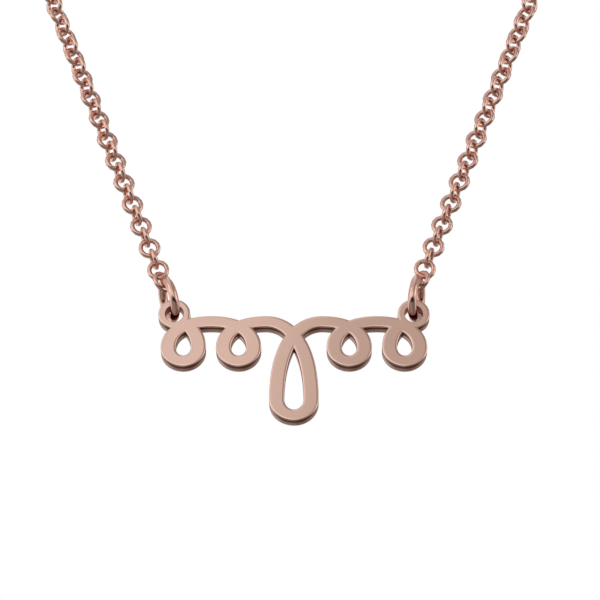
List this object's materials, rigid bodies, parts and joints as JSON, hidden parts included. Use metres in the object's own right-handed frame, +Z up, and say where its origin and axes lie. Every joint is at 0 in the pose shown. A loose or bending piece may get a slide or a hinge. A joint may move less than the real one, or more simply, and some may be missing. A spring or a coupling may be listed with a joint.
{
  "type": "nameplate necklace",
  "caption": "Round-link chain necklace as worn: a flat pierced plate, cut as a looped ribbon, hangs by an eyelet and jump ring at each end, with a plain ring clasp at the nape.",
  "frame": {"origin": "the nape: the centre of the clasp's ring, where the loop lies on the back of the neck", "axes": "+X to the viewer's right, +Y away from the viewer, from the nameplate to the nape, and +Z up"},
  "size_m": [0.1052, 0.1021, 0.1253],
  "materials": {
    "rose_gold_plate": "satin-polished rose gold plating on silver",
    "rose_gold_wire": "polished rose gold plating on silver",
    "rose_gold_chain": "polished rose gold plating on silver"
  },
  "bodies": {
    "chain": {"jump_ring_left": "rose_gold_wire", "jump_ring_right": "rose_gold_wire", "chain_left": "rose_gold_chain", "chain_right": "rose_gold_chain", "clasp": "rose_gold_wire", "clasp_ring": "rose_gold_wire"},
    "pendant": {"nameplate": "rose_gold_plate"}
  },
  "joints": [
    {"name": "nameplate_swing", "type": "hinge", "parent": "chain", "child": "pendant", "pos_m": [0, -0.098, -0.10916], "axis": [1, 0, 0], "range_deg": [-30, 10]}
  ]
}
